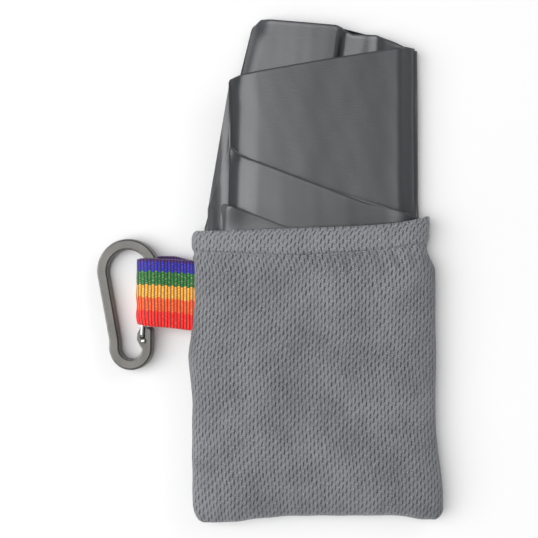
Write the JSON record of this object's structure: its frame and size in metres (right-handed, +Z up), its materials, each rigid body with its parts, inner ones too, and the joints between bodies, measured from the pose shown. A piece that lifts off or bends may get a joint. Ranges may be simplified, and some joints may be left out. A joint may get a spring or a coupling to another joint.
{
  "type": "quick dry towel in pouch",
  "caption": "Thin silky travel towel folded into an open knit mesh pouch, with a striped webbing side loop and a small wire gate carabiner.",
  "frame": {"origin": "on the surface it lies on, under the middle of its outline seen from above", "axes": "+X across the pouch away from the webbing loop, +Y along it towards the mouth and the towel, +Z up out of the front panel"},
  "size_m": [0.13, 0.1896, 0.0147],
  "materials": {
    "knit_mesh": "matt warp-knit polyester mesh, mid grey",
    "sewing_thread": "spun polyester thread, grey",
    "striped_webbing": "ribbed grosgrain webbing in five coloured stripes",
    "satin_alloy": "satin bead-blasted alloy",
    "spring_wire": "bright drawn steel wire",
    "towel_cloth": "thin microfibre cloth with a silky face, dark grey"
  },
  "bodies": {
    "pouch": {"pouch_front_panel": "knit_mesh", "pouch_back_panel": "knit_mesh", "front_hem_needle_thread": "sewing_thread", "front_hem_bobbin_thread": "sewing_thread", "back_hem_needle_thread": "sewing_thread", "back_hem_bobbin_thread": "sewing_thread", "left_seam_thread": "sewing_thread", "right_seam_thread": "sewing_thread", "bottom_seam_thread": "sewing_thread"},
    "towel": {"towel_cloth": "towel_cloth"},
    "webbing": {"webbing_loop": "striped_webbing"},
    "carabiner": {"carabiner_frame": "satin_alloy"},
    "gate": {"wire_gate": "spring_wire"}
  },
  "joints": [
    {"name": "towel_pull_out", "type": "slide", "parent": "pouch", "child": "towel", "axis": [0, 1, 0], "range_m": [0, 0.105]},
    {"name": "webbing_flex", "type": "hinge", "parent": "pouch", "child": "webbing", "pos_m": [-0.0284, -0.0101, 0.0063], "axis": [0, 1, 0], "range_deg": [-100, 100], "stiffness_Nm_per_rad": 0.05},
    {"name": "carabiner_swing", "type": "hinge", "parent": "webbing", "child": "carabiner", "pos_m": [-0.0474, -0.0086, 0.00495], "axis": [0, 1, 0], "range_deg": [-90, 90]},
    {"name": "gate_open", "type": "hinge", "parent": "carabiner", "child": "gate", "pos_m": [-0.0474, -0.0261, 0.00495], "axis": [-0.1564, 0, 0.9877], "range_deg": [0, 25], "stiffness_Nm_per_rad": 0.02, "springref_deg": -20.05, "deforming": ["webbing_loop"]}
  ]
}
